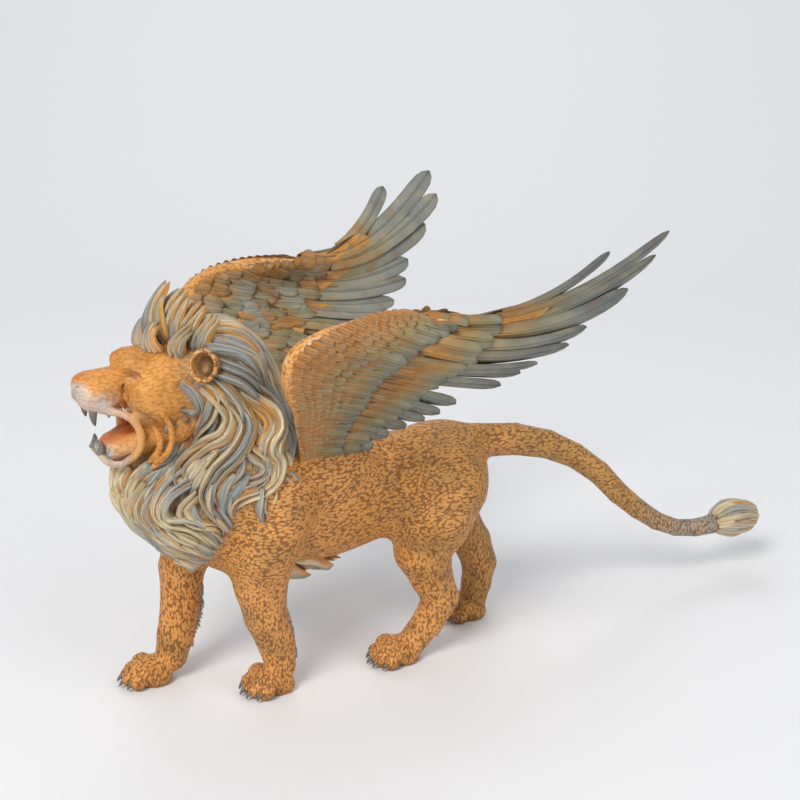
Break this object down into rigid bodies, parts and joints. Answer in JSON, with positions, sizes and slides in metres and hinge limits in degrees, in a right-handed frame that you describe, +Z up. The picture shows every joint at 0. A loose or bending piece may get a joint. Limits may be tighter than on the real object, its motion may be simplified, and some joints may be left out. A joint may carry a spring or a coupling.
{
  "type": "winged lion statue",
  "caption": "Roaring winged lion striding on its four paws, with raised feathered wings, a deep carved mane and a long tail held out behind.",
  "frame": {"origin": "on the ground that the paws stand on, under the middle of the statue's bounding box", "axes": "-X is the way the lion faces, +X points along its tail, -Y is its left side, +Z is up"},
  "size_m": [0.6014, 0.3324, 0.3451],
  "materials": {
    "patinated_bronze": "cast bronze under a satin patina: ochre body, cream and blue-grey mane locks, orange to blue-grey wings"
  },
  "bodies": {
    "root": {"winged_lion": "patinated_bronze"}
  },
  "joints": []
}
